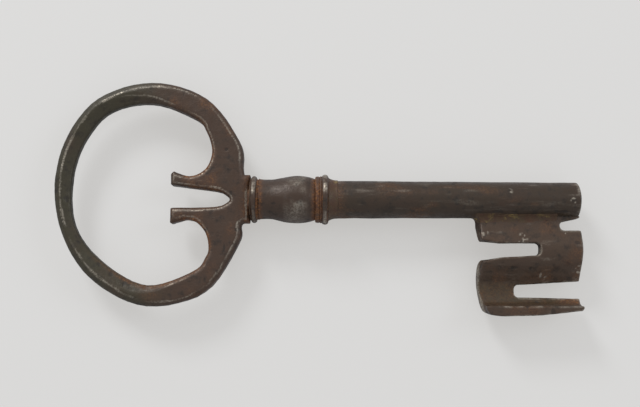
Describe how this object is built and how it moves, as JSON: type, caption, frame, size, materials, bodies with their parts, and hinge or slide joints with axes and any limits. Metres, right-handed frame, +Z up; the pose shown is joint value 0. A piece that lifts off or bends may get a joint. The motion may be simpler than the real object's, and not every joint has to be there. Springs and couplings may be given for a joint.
{
  "type": "door key",
  "caption": "Old wrought-iron door key: ring bow with inward horns, baluster neck, hollow pipe shank, S-bent bit with ward cuts.",
  "frame": {"origin": "middle of the bottom of the box round the whole key, lying flat", "axes": "+X along the shank from the bow to the tip, +Y away from the bit, +Z up, square to the flat of the bow"},
  "size_m": [0.136, 0.0606, 0.0129],
  "materials": {
    "bow": "dark brown patina, worn edges, traces of rust",
    "collar_solder": "old brass solder, browned",
    "collar": "dark brown patina, worn edges, traces of rust",
    "neck": "dark brown patina, worn edges, traces of rust",
    "knop": "dark brown patina, worn edges, traces of rust",
    "knop_solder": "old brass solder, browned",
    "pipe": "dark brown patina, worn edges, traces of rust",
    "bit": "dark brown patina, worn edges, traces of rust",
    "bit_solder": "old brass solder, browned"
  },
  "bodies": {
    "root": {"bow": "bow", "collar_solder": "collar_solder", "collar": "collar", "neck": "neck", "knop": "knop", "knop_solder": "knop_solder", "pipe": "pipe", "bit": "bit", "bit_solder": "bit_solder"}
  },
  "joints": []
}
